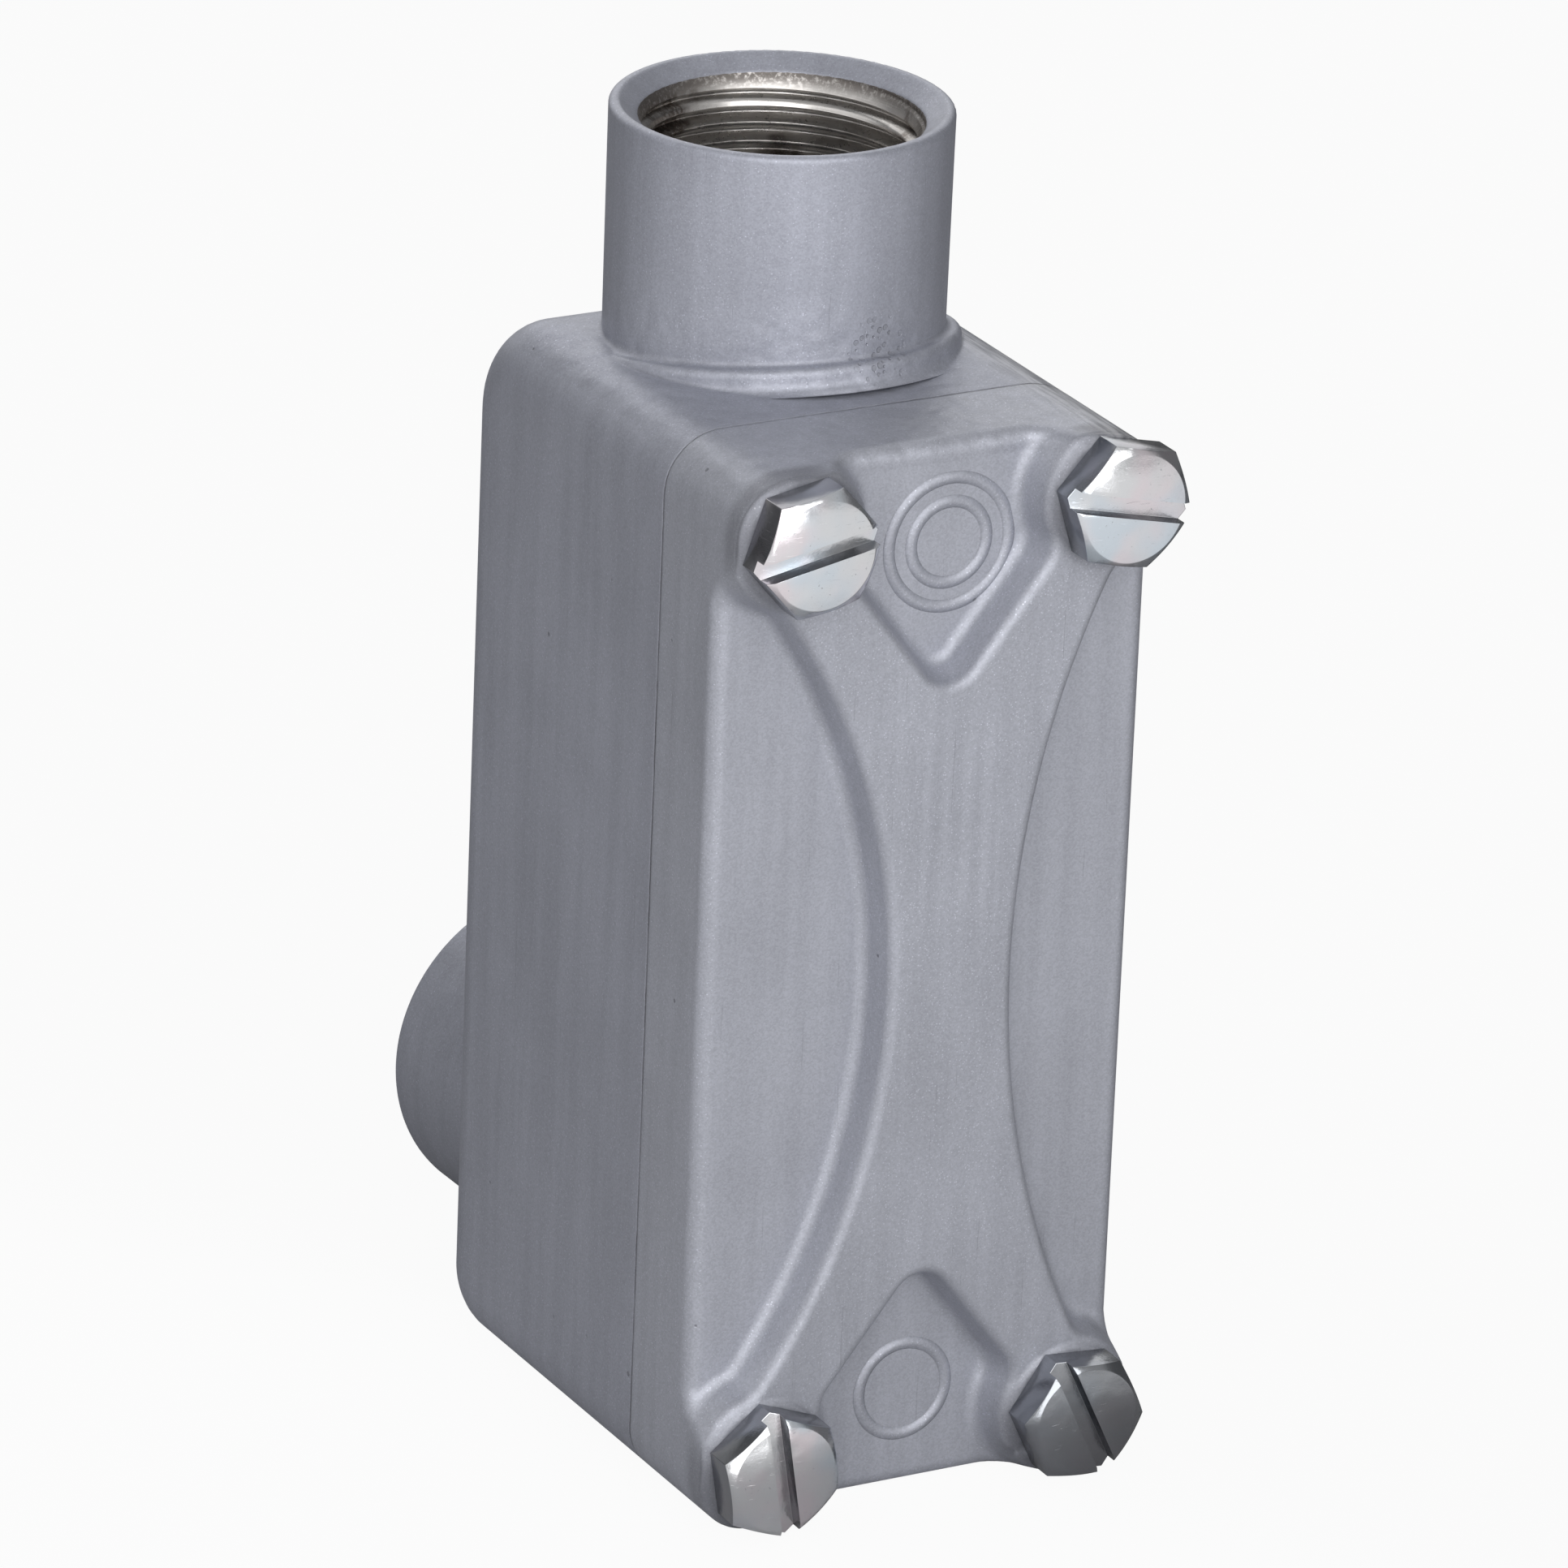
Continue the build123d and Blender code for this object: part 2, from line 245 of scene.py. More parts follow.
class Graph:
    """Adds nodes to one tree and links them."""

    def __init__(self, tree):
        self.tree = tree

    def add(self, kind, values=None, **settings):
        """Adds a node, sets it up, and gives its inputs numbers or links them to sockets."""
        node = self.tree.nodes.new("ShaderNode" + kind)
        for key, value in settings.items():
            setattr(node, key, value)
        for key, value in (values or {}).items():
            if isinstance(value, bpy.types.NodeSocket):
                self.tree.links.new(value, node.inputs[key])
            else:
                node.inputs[key].default_value = value
        return node

    def math(self, operation, *values):
        """One sum on numbers."""
        return self.add("Math", dict(enumerate(values)), operation=operation).outputs[0]

    def product(self, first, *others):
        """All the values multiplied."""
        for other in others:
            first = self.math("MULTIPLY", first, other)
        return first

    def vector(self, operation, *values):
        """One sum on vectors."""
        return self.add("VectorMath", dict(enumerate(values)), operation=operation).outputs[0]

    def span(self, value, low, high, start=0.0, end=1.0):
        """Takes low to high smoothly over to start to end, and holds there."""
        values = {"Value": value, "From Min": low, "From Max": high, "To Min": start, "To Max": end}
        return self.add("MapRange", values, interpolation_type="SMOOTHSTEP").outputs[0]

    def noise(self, place, scale, detail=2.0, roughness=0.5):
        """Soft noise, from 0 to 1."""
        values = {"Vector": place, "Scale": scale, "Detail": detail, "Roughness": roughness}
        return self.add("TexNoise", values).outputs[0]

    def blend(self, amount, first, second, mode="MIX"):
        """Colour between two colours."""
        node = self.add("Mix", data_type="RGBA", blend_type=mode)
        for index, value in ((0, amount), (6, first), (7, second)):
            if isinstance(value, bpy.types.NodeSocket):
                self.tree.links.new(value, node.inputs[index])
            elif index == 0:
                node.inputs[index].default_value = value
            else:
                node.inputs[index].default_value = (*value, 1.0)
        return node.outputs[2]

    def grey(self, value):
        """A grey colour from one number."""
        return self.add("CombineColor", {0: value, 1: value, 2: value}).outputs[0]

    def parts(self, vector):
        """The three parts of a vector."""
        return self.add("SeparateXYZ", {0: vector}).outputs

    def group(self, name, values):
        """Places a shared effect with its own values."""
        node = self.tree.nodes.new("ShaderNodeGroup")
        node.node_tree = bpy.data.node_groups[name]
        for key, value in values.items():
            if isinstance(value, bpy.types.NodeSocket):
                self.tree.links.new(value, node.inputs[key])
            else:
                node.inputs[key].default_value = value
        return node.outputs


def new_effect(name, inputs, outputs):
    """An empty shared effect with named sockets, as its graph, its inputs and its output node."""
    tree = bpy.data.node_groups.new(name, "ShaderNodeTree")
    for label, kind, default in inputs:
        socket = tree.interface.new_socket(label, in_out="INPUT", socket_type="NodeSocket" + kind)
        if default is not None:
            socket.default_value = default
    for label, kind in outputs:
        tree.interface.new_socket(label, in_out="OUTPUT", socket_type="NodeSocket" + kind)
    start = tree.nodes.new("NodeGroupInput")
    end = tree.nodes.new("NodeGroupOutput")
    return Graph(tree), start.outputs, end


def put_out(graph, end, results):
    """Links an effect's results to its output node."""
    for label, socket in results.items():
        graph.tree.links.new(socket, end.inputs[label])


# Shared effects

def make_cast_skin():
    """Sand grain, paint ripples, pits and slow changes of tone, over places in millimetres."""
    graph, given, end = new_effect(
        "Cast Skin",
        [("Place", "Vector", None), ("Grain Size", "Float", 0.9), ("Peel Size", "Float", 3.0),
         ("Pit Spacing", "Float", 5.0)],
        [("Height", "Float"), ("Tone", "Float"), ("Pit", "Float"), ("Ripple", "Float")],
    )
    place = given["Place"]
    grain_scale = graph.math("DIVIDE", 1.0, given["Grain Size"])
    peel_scale = graph.math("DIVIDE", 1.0, given["Peel Size"])
    grain = graph.noise(place, grain_scale, 3.0, 0.62)
    peel = graph.noise(place, peel_scale, 1.0, 0.5)
    pit_scale = graph.math("DIVIDE", 1.0, given["Pit Spacing"])
    cells = graph.add("TexVoronoi", {"Vector": place, "Scale": pit_scale})
    chosen = graph.span(graph.parts(cells.outputs["Color"])[0], 0.62, 0.66)
    size = graph.math("MULTIPLY_ADD", graph.parts(cells.outputs["Color"])[1], 0.035, 0.02)
    inside = graph.math("SUBTRACT", size, cells.outputs["Distance"])
    pit = graph.math("MULTIPLY", graph.span(inside, 0.0, 0.015), chosen)
    low = graph.math("MULTIPLY", peel, 1.4)
    height = graph.math("SUBTRACT", graph.math("ADD", grain, low), graph.math("MULTIPLY", pit, 2.2))
    tone = graph.noise(place, 0.055, 2.0, 0.6)
    put_out(graph, end, {"Height": height, "Tone": tone, "Pit": pit, "Ripple": peel})


def make_flake():
    """Bright and dark flakes in the paint, as a factor near 1."""
    graph, given, end = new_effect(
        "Paint Flake",
        [("Place", "Vector", None), ("Flake Size", "Float", 0.14), ("Strength", "Float", 0.2)],
        [("Factor", "Float"), ("Spark", "Float")],
    )
    scale = graph.math("DIVIDE", 1.0, given["Flake Size"])
    cells = graph.add("TexVoronoi", {"Vector": given["Place"], "Scale": scale})
    red, green, _ = graph.parts(cells.outputs["Color"])
    even = graph.math("SUBTRACT", red, 0.5)
    round_off = graph.span(cells.outputs["Distance"], 0.25, 0.55, 1.0, 0.0)
    spark = graph.math("MULTIPLY", graph.span(green, 0.90, 0.97), round_off)
    lift = graph.math("MULTIPLY_ADD", spark, 1.5, graph.math("MULTIPLY", even, 0.7))
    factor = graph.math("MULTIPLY_ADD", lift, given["Strength"], 1.0)
    put_out(graph, end, {"Factor": factor, "Spark": spark})


def make_streaks():
    """Thin straight marks that run along one axis, as a mask."""
    graph, given, end = new_effect(
        "Straight Marks",
        [("Place", "Vector", None), ("Stretch", "Vector", (1.0, 1.0, 1.0)), ("Cut", "Float", 0.68)],
        [("Mask", "Float"), ("Wave", "Float")],
    )
    stretched = graph.vector("MULTIPLY", given["Place"], given["Stretch"])
    wave = graph.noise(stretched, 1.0, 2.0, 0.6)
    upper = graph.math("ADD", given["Cut"], 0.06)
    mask = graph.span(wave, given["Cut"], upper)
    put_out(graph, end, {"Mask": mask, "Wave": wave})


def make_joint_line():
    """The thin broken line where the cover meets the casting, as a mask."""
    graph, given, end = new_effect(
        "Joint Line",
        [("Place", "Vector", None), ("Joint", "Float", 0.0), ("Width", "Float", 0.16)],
        [("Mask", "Float")],
    )
    wander = graph.math("MULTIPLY_ADD", graph.noise(given["Place"], 0.55, 3.0, 0.6), 0.26, -0.13)
    along = graph.math("SUBTRACT", graph.parts(given["Place"])[1], given["Joint"])
    off = graph.math("ABSOLUTE", graph.math("ADD", along, wander))
    patches = graph.span(graph.noise(given["Place"], 0.16, 3.0, 0.65), 0.40, 0.60, 0.25, 1.0)
    line = graph.span(off, 0.0, given["Width"], 1.0, 0.0)
    put_out(graph, end, {"Mask": graph.math("MULTIPLY", line, patches)})


def make_dots():
    """Small round dots scattered round one place, as a mask."""
    graph, given, end = new_effect(
        "Scattered Dots",
        [("Place", "Vector", None), ("Centre", "Vector", (0.0, 0.0, 0.0)), ("Reach", "Float", 4.0),
         ("Spacing", "Float", 1.0), ("Size", "Float", 0.3)],
        [("Mask", "Float")],
    )
    cells = graph.add("TexVoronoi", {"Vector": given["Place"],
                                     "Scale": graph.math("DIVIDE", 1.0, given["Spacing"])})
    size = graph.math("MULTIPLY", graph.parts(cells.outputs["Color"])[0], given["Size"])
    inside = graph.math("SUBTRACT", size, cells.outputs["Distance"])
    away = graph.add("VectorMath", {0: given["Place"], 1: given["Centre"]}, operation="DISTANCE")
    ratio = graph.math("DIVIDE", away.outputs["Value"], given["Reach"])
    patch = graph.span(ratio, 0.45, 1.0, 1.0, 0.0)
    put_out(graph, end, {"Mask": graph.math("MULTIPLY", graph.span(inside, 0.0, 0.08), patch)})


def make_effects():
    """Builds every shared effect once."""
    make_dots()
    make_cast_skin()
    make_flake()
    make_streaks()
    make_joint_line()


# Materials

def new_material(name):
    """A new material, as its graph and its shader."""
    material = bpy.data.materials.new(name)
    material.use_nodes = True
    tree = material.node_tree
    tree.nodes.clear()
    graph = Graph(tree)
    shader = graph.add("BsdfPrincipled")
    output = graph.add("OutputMaterial")
    tree.links.new(shader.outputs[0], output.inputs["Surface"])
    return material, graph, shader


def set_inputs(graph, shader, values):
    """Links or sets inputs of a shader."""
    for key, value in values.items():
        if isinstance(value, bpy.types.NodeSocket):
            graph.tree.links.new(value, shader.inputs[key])
        else:
            shader.inputs[key].default_value = value


def place_in_mm(graph):
    """Places on the piece in millimetres, and the direction that its surface faces."""
    node = graph.add("TexCoord")
    return graph.vector("MULTIPLY", node.outputs["Object"], (1 / MM,) * 3), node.outputs["Normal"]


def bump(graph, height, distance, normal=None):
    """A normal from a height in parts of distance, over the surface's own or a given normal."""
    values = {"Height": height, "Distance": distance, "Strength": 1.0}
    if normal:
        values["Normal"] = normal
    return graph.add("Bump", values).outputs[0]


def soft_edges(graph, radius):
    """A normal that rounds edges and corners, as thick paint does."""
    return graph.add("Bevel", {"Radius": radius}, samples=4).outputs[0]


def dots(graph, place, centre, reach, spacing, size):
    """One patch of dots, as a mask."""
    values = {"Place": place, "Centre": centre, "Reach": reach, "Spacing": spacing, "Size": size}
    return graph.group("Scattered Dots", values)["Mask"]


def ground_patch(graph, x, y, z):
    """Where the casting was ground beside the top hub, as a mask."""
    return graph.product(
        graph.span(x, 12.5, 17.5),
        graph.math("MULTIPLY", graph.span(z, 95.5, 100.5), graph.span(z, 103.75, 104.2, 1.0, 0.0)),
        graph.span(y, -12.0, 4.0, 1.0, 0.0),
    )


def lapped_face(graph, y, facing):
    """The lapped joint faces of cover and casting, as a mask."""
    off_joint = graph.math("ABSOLUTE", graph.math("SUBTRACT", y, JOINT_Y / MM))
    across = graph.math("ABSOLUTE", graph.parts(facing)[1])
    return graph.product(graph.span(off_joint, 0.01, 0.03, 1.0, 0.0), graph.span(across, 0.80, 0.95))


def paint_material(name, base, looks):
    """Flake paint on cast metal, worn beside the hub and at the joint, with a bare lapped joint face."""
    material, graph, shader = new_material(name)
    place, facing = place_in_mm(graph)
    x, y, z = graph.parts(place)
    skin = graph.group("Cast Skin", {
        "Place": place, "Grain Size": looks.grain_size / MM, "Peel Size": looks.peel_size / MM,
        "Pit Spacing": looks.pit_spacing / MM,
    })
    flake = graph.group("Paint Flake", {
        "Place": place, "Flake Size": looks.flake_size / MM, "Strength": 0.26,
    })
    joint = graph.group("Joint Line", {
        "Place": place, "Joint": JOINT_Y / MM, "Width": looks.joint_width / MM,
    })["Mask"]
    upright = {"Place": place, "Stretch": (2.6, 2.6, 0.07), "Cut": 0.685}
    marks = graph.group("Straight Marks", upright)["Mask"]
    streaks = graph.group("Straight Marks", {"Place": place, "Stretch": (2.2, 0.13, 2.2)})["Wave"]
    pores = graph.math("MAXIMUM", *(dots(graph, place, *patch) for patch in PORE_PATCHES))
    specks = dots(graph, place, *SPECK_PATCH)
    # Painted shade round the screw heads on their seats, mixed with grime
    seat_shade_and_grime = screw_seat_shade_and_grime(graph, place, y, skin["Tone"])
    ground = ground_patch(graph, x, y, z)
    lapped = lapped_face(graph, y, facing)

    runs = graph.noise(graph.vector("MULTIPLY", place, (0.55, 0.55, 0.035)), 1.0, 2.0)
    slow = graph.span(skin["Tone"], 0.30, 0.70, *TONE_DRIFT)
    slow = graph.math("MULTIPLY", slow, graph.span(runs, 0.30, 0.70, *TONE_DRIFT))
    shade = graph.math("MULTIPLY", flake["Factor"], slow)
    painted = graph.blend(1.0, tuple(base), graph.grey(shade), "MULTIPLY")
    filed = graph.blend(graph.span(streaks, 0.36, 0.62), *FILED_TONES)
    layers = ((skin["Pit"], PITS), (pores, PORES), (seat_shade_and_grime, SEAT_SHADE_AND_GRIME), (marks, MARKS),
              (ground, (GROUND_SHARE, filed)), (joint, JOINT_DIRT), (specks, SPECKS))
    for mask, (cover, tone) in layers:
        painted = graph.blend(graph.math("MULTIPLY", mask, cover), painted, tone)
    lathe = graph.noise(graph.vector("MULTIPLY", place, (0.25, 1.0, 5.0)), 1.0, 2.0)
    surface = graph.blend(lapped, painted, graph.blend(lathe, *LAPPED_TONES))

    foot = graph.product(graph.span(z, 101.5, 103.0), graph.span(z, 107.0, 113.0, 1.0, 0.0))
    features = {
        "joint": joint, "foot": graph.math("MULTIPLY", skin["Ripple"], foot),
        "filed": graph.math("MULTIPLY", streaks, ground), "marks": marks, "pores": pores,
        "ridges": faint_ridges(graph, x, y, z),
    }
    relief = skin["Height"]
    for feature, rise in RISES.items():
        relief = graph.math("MULTIPLY_ADD", features[feature], rise, relief)
    metal = graph.math("MULTIPLY_ADD", flake["Spark"], 0.3, looks.metal_share)
    rough = graph.math("MULTIPLY_ADD", flake["Spark"], -0.16, looks.roughness)
    rough = graph.math("MULTIPLY_ADD", skin["Tone"], 0.08, rough)
    set_inputs(graph, shader, {
        "Base Color": surface,
        "Metallic": graph.math("MAXIMUM", metal, graph.math("MULTIPLY", lapped, 0.9)),
        "Roughness": graph.math("SUBTRACT", rough, graph.math("MULTIPLY", lapped, 0.08)),
        "Normal": bump(graph, relief, looks.grain_depth, soft_edges(graph, looks.edge_softness)),
    })
    return material


def from_screws(graph, place):
    """Distance in millimetres from the nearest cover screw's axis."""
    low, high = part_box("cover")
    middle = (low + high) / (2 * MM)
    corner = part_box("cover_screw_top_right")
    centre = (corner[0] + corner[1]) / (2 * MM) - middle
    folded = graph.vector("ABSOLUTE", graph.vector("SUBTRACT", place, tuple(middle)))
    off = graph.vector("MULTIPLY", graph.vector("SUBTRACT", folded, tuple(centre)), (1, 0, 1))
    return graph.add("VectorMath", {0: off}, operation="LENGTH").outputs["Value"]


def screw_seat_shade_and_grime(graph, place, y, tone):
    """Painted shade round the four screw heads on their seats, mixed with grime, as a mask."""
    seat = SEAT_Y / MM
    near = graph.span(from_screws(graph, place), 5.6, 7.6, 0.62, 0.0)
    near = graph.math("MULTIPLY", near, graph.span(y, seat + 2.4, seat + 4.0, 1.0, 0.0))
    return graph.math("MULTIPLY", near, graph.span(tone, 0.2, 0.6, 0.6, 1.0))


def faint_ridges(graph, x, y, z):
    """Faint upright ridges left by the pattern on the front of the relief."""
    wave = graph.math("SINE", graph.math("MULTIPLY", x, 2.9))
    across = graph.product(graph.span(x, -3.2, -1.6), graph.span(x, 4.6, 6.2, 1.0, 0.0))
    along = graph.product(graph.span(z, 56.0, 62.0), graph.span(z, 74.0, 80.0, 1.0, 0.0))
    front = graph.span(y, -35.6, -35.2, 1.0, 0.0)
    return graph.math("MULTIPLY", wave, graph.product(across, along, front))


def thread_material(sizes):
    """Cut thread: bright metal with stained patches, fine marks round the bore and paint at the mouth."""
    material, graph, shader = new_material("Cut Thread")
    place, _ = place_in_mm(graph)
    patches = graph.noise(place, 0.14, 3.0, 0.55)
    fine = graph.noise(place, 2.4, 2.0, 0.7)
    turned = graph.noise(graph.vector("MULTIPLY", place, (0.35, 0.35, 9.0)), 1.0, 2.0)
    stained = graph.math("MULTIPLY", graph.span(patches, 0.44, 0.60), graph.span(fine, 0.15, 0.60))
    bright = graph.blend(turned, tuple(sizes.colour), BRIGHT_CUT)
    surface = graph.blend(graph.math("MULTIPLY", stained, 0.85), bright, tuple(sizes.stain))
    ends = []
    for hub, axis in (("top_hub", 2), ("back_hub", 1)):
        mouth = MOUNTS[hub]["pos_m"][axis] / MM
        ends.append(graph.span(graph.parts(place)[axis], mouth - SPRAY_DEPTH, mouth - 0.2))
    over = graph.math("MAXIMUM", *ends)
    over = graph.math("MULTIPLY", over, graph.span(fine, 0.25, 0.55, 0.45, 1.0))
    surface = graph.blend(over, surface, tuple(sizes.overspray))
    rough = graph.math("MULTIPLY_ADD", fine, 0.20, 0.20)
    rough = graph.math("MULTIPLY_ADD", over, 0.25, rough)
    height = graph.math("ADD", turned, graph.math("MULTIPLY", fine, 0.6))
    set_inputs(graph, shader, {
        "Base Color": surface,
        "Metallic": 1.0,
        "Roughness": rough,
        "Normal": bump(graph, height, 0.000016),
    })
    return material


def zinc_material(looks):
    """Bright zinc plate with faint tints, painted shade on the head's sides and in the thread's roots,
    and a painted dark reflection that makes one screw duller.
    """
    material, graph, shader = new_material("Zinc Plate")
    place, facing = place_in_mm(graph)
    tint = graph.noise(place, 0.16, 2.0, 0.6)
    other = graph.noise(graph.vector("ADD", place, (31.0, 7.0, 13.0)), 0.13, 2.0, 0.6)
    warm = graph.blend(graph.span(tint, 0.42, 0.66), tuple(looks.colour), WARM_ZINC)
    cool = graph.blend(graph.span(other, 0.45, 0.68), warm, COOL_ZINC)
    specks = graph.noise(place, 3.2, 3.0, 0.7)
    x, y, z = graph.parts(place)
    away = from_screws(graph, place)
    seat, tip = SEAT_Y / MM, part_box("cover_screw_top_right")[1].y / MM
    shank = graph.product(graph.span(y, seat, seat + 0.5), graph.span(y, tip - 1.2, tip - 0.9, 1.0, 0.0))
    # Worn specks, then painted shade on the head's sides and in the thread's roots, then a painted dark
    # reflection on the bottom right screw
    layers = (
        (graph.span(specks, 0.66, 0.74), WORN_ZINC),
        (graph.span(graph.math("ABSOLUTE", graph.parts(facing)[1]), 0.30, 0.55, 0.8, 0.0), SIDE_SHADE_ZINC),
        (graph.product(graph.span(away, 2.55, 3.05, 0.85, 0.0), shank), ROOT_SHADE_ZINC),
        (graph.product(graph.span(x, 4, 8), graph.span(z, 40, 60, 0.85, 0.0)), DARK_REFLECTION_ZINC),
    )
    surface = cool
    for mask, tone in layers:
        surface = graph.blend(mask, surface, tone)
    marks = graph.group("Straight Marks", {"Place": place, "Stretch": (0.5, 0.5, 7.0), "Cut": 0.66})
    rough = graph.math("MULTIPLY_ADD", specks, 0.16, 0.11)
    height = graph.math("MULTIPLY_ADD", marks["Mask"], -0.5, specks)
    height = graph.math("MULTIPLY_ADD", graph.math("MULTIPLY", away, away), -1.6, height)
    wave = graph.noise(place, 0.35, 1.0)
    height = graph.math("MULTIPLY_ADD", wave, 9.0, height)
    set_inputs(graph, shader, {
        "Base Color": surface,
        "Metallic": 1.0,
        "Roughness": rough,
        "Normal": bump(graph, height, 0.000010),
    })
    return material


# Meshes

def finish_piece(name, bm, material, body, smooth_angle):
    """Makes a piece of a mesh, smooths it up to an angle in degrees and lets it ride on a body."""
    bmesh.ops.recalc_face_normals(bm, faces=bm.faces[:])
    mesh = bpy.data.meshes.new(name)
    bm.to_mesh(mesh)
    bm.free()
    for polygon in mesh.polygons:
        polygon.use_smooth = True
    mesh.set_sharp_from_angle(angle=radians(smooth_angle))
    mesh.materials.append(material)
    piece = bpy.data.objects.new(name, mesh)
    bpy.context.scene.collection.objects.link(piece)
    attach(piece, body)
    return piece


def helix_skin(bm, pitch, turns, segments, points, radius_at):
    """A skin that winds round local z from below 0 to above the top, its radius from phase and height."""
    rows = points * turns + 1
    grid = []
    for step in range(segments):
        around = tau * step / segments
        column = []
        for row in range(rows):
            height = pitch * (row / points + step / segments - 1)
            radius = radius_at(row / points % 1, height)
            column.append(bm.verts.new((radius * cos(around), radius * sin(around), height)))
        grid.append(column)
    for step in range(segments):
        last = step == segments - 1
        ahead = grid[0] if last else grid[step + 1]
        lead = points if last else 0
        for row in range(rows - 1 - lead):
            near = grid[step]
            bm.faces.new((near[row], ahead[row + lead], ahead[row + 1 + lead], near[row + 1]))


def trim_ends(bm, top):
    """Cuts the skin square at z 0 and at the top, and returns the two open loops."""
    for level, direction in ((0.0, -1.0), (top, 1.0)):
        geometry = bm.verts[:] + bm.edges[:] + bm.faces[:]
        bmesh.ops.bisect_plane(bm, geom=geometry, dist=1e-8, plane_co=(0, 0, level),
                               plane_no=(0, 0, direction), clear_outer=True)
    open_edges = [edge for edge in bm.edges if edge.is_boundary]
    low = [edge for edge in open_edges if edge.verts[0].co.z < top / 2]
    high = [edge for edge in open_edges if edge.verts[0].co.z >= top / 2]
    return low, high


def thread_wave(phase, crest, root):
    """Height of a 60 degree thread with flat crest and root, from 0 at the root to 1 at the crest."""
    from_crest = abs(phase - 0.5) * 2
    return min(1.0, max(0.0, (1 - root - from_crest) / (1 - crest - root)))


def hub_thread(name, mount, sizes, material):
    """The thread of one hub: a closed shell in the hub's wall whose inside is the taper thread."""
    hub_radius = mount["dims"]["r_mm"] * MM
    top = mount["dims"]["length_mm"] * MM
    turns = int(top / sizes.pitch) + 3

    def radius_at(phase, height):
        below = top - height
        crest = sizes.depth * thread_wave(phase, *HUB_FLATS)
        cut = hub_radius - HUB_CLEARANCE - sizes.taper * below - crest
        cone = hub_radius - sizes.lead_slope * below
        return max(cut, cone)

    bm = bmesh.new()
    helix_skin(bm, sizes.pitch, turns, sizes.segments, HUB_POINTS, radius_at)
    low, high = trim_ends(bm, top)
    outer = hub_radius + sizes.wall
    loops = []
    for loop in (low, high):
        made = bmesh.ops.extrude_edge_only(bm, edges=loop)["geom"]
        fresh = {item for item in made if isinstance(item, bmesh.types.BMVert)}
        for vert in fresh:
            stretch = outer / vert.co.xy.length
            vert.co.x *= stretch
            vert.co.y *= stretch
        loops += [item for item in made if isinstance(item, bmesh.types.BMEdge)
                  and item.verts[0] in fresh and item.verts[1] in fresh]
    bmesh.ops.bridge_loops(bm, edges=loops)
    axis = Vector(mount["axis"])
    base = Vector(mount["pos_m"]) - axis * top
    turn = axis.to_track_quat("Z", "X").to_matrix().to_4x4()
    bmesh.ops.transform(bm, matrix=Matrix.Translation(base) @ turn, verts=bm.verts[:])
    finish_piece(name, bm, material, "casting", 40)


def cast_ring(name, radius, centre_x, centre_z, sizes, material):
    """A low round ring cast on the cover, its back sunk into the cover."""
    level = SEAT_Y + sizes.recess
    around_steps = 96
    section_steps = 10
    sunk = 2 * sizes.height
    bm = bmesh.new()
    columns = []
    for step in range(around_steps):
        around = tau * step / around_steps
        section = []
        for part in range(section_steps + 1):
            across = 1 - 2 * part / section_steps
            section.append((across, -sizes.height * (0.5 + 0.5 * cos(pi * across))))
        section += [(-1, sunk), (1, sunk)]
        column = []
        for across, back in section:
            out = radius + sizes.half_width * across
            place = (centre_x + out * cos(around), level + back, centre_z + out * sin(around))
            column.append(bm.verts.new(place))
        columns.append(column)
    count = len(columns[0])
    for step in range(around_steps):
        near = columns[step]
        ahead = columns[(step + 1) % around_steps]
        for part in range(count):
            after = (part + 1) % count
            bm.faces.new((near[part], ahead[part], ahead[after], near[after]))
    finish_piece(name, bm, material, "cover", 60)


def screw_head(node, edge_round):
    """The head of a CAD screw with its edges broken, as a mesh of its own."""
    bm = bmesh.new()
    bm.from_mesh(node.data)
    bmesh.ops.remove_doubles(bm, verts=bm.verts[:], dist=2e-6)
    shank = [vert for vert in bm.verts if vert.co.y > SEAT_Y + JUST_BELOW]
    bmesh.ops.delete(bm, geom=shank, context="VERTS")
    bmesh.ops.dissolve_limit(bm, angle_limit=radians(0.6), verts=bm.verts[:], edges=bm.edges[:])
    rim = [edge for edge in bm.edges if edge.is_boundary]
    bmesh.ops.holes_fill(bm, edges=rim, sides=0)
    sharp = [edge for edge in bm.edges
             if len(edge.link_faces) == 2 and edge.calc_face_angle(0) > radians(20)]
    bmesh.ops.bevel(bm, geom=sharp, offset=edge_round, segments=2, profile=0.6, affect="EDGES",
                    clamp_overlap=True)
    return bm


def cover_screw(place, looks, material):
    """One whole screw: the head and a threaded shank, in place of its CAD node."""
    node_name = "cover_screw_" + place
    low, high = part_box(node_name)
    centre = (low + high) / 2
    top = high.y - SEAT_Y + BURIED
    major = shank_radius(node_name)

    def radius_at(phase, height):
        fade = min(1.0, max(0.0, (top - height - BURIED) / looks.runout))
        groove = looks.depth * (1 - thread_wave(phase, *SCREW_FLATS)) * fade
        cone = major - TIP_DROP + max(0.0, height) / looks.tip_length * TIP_DROP
        return min(major - SCREW_CLEARANCE - groove, cone)

    bm = bmesh.new()
    turns = int(top / looks.pitch) + 3
    helix_skin(bm, looks.pitch, turns, looks.segments, SCREW_POINTS, radius_at)
    for loop in trim_ends(bm, top):
        bmesh.ops.contextual_create(bm, geom=loop)
    tip = Vector((centre.x, high.y, centre.z))
    turn = Vector((0, -1, 0)).to_track_quat("Z", "X").to_matrix().to_4x4()
    bmesh.ops.transform(bm, matrix=Matrix.Translation(tip) @ turn, verts=bm.verts[:])
    head = screw_head(frame["nodes"][node_name], looks.edge_round)
    head_mesh = bpy.data.meshes.new("head")
    head.to_mesh(head_mesh)
    head.free()
    bm.from_mesh(head_mesh)
    bpy.data.meshes.remove(head_mesh)
    piece = finish_piece("plated_screw_" + place, bm, material, "screw_" + place, 28)
    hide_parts(node_name)


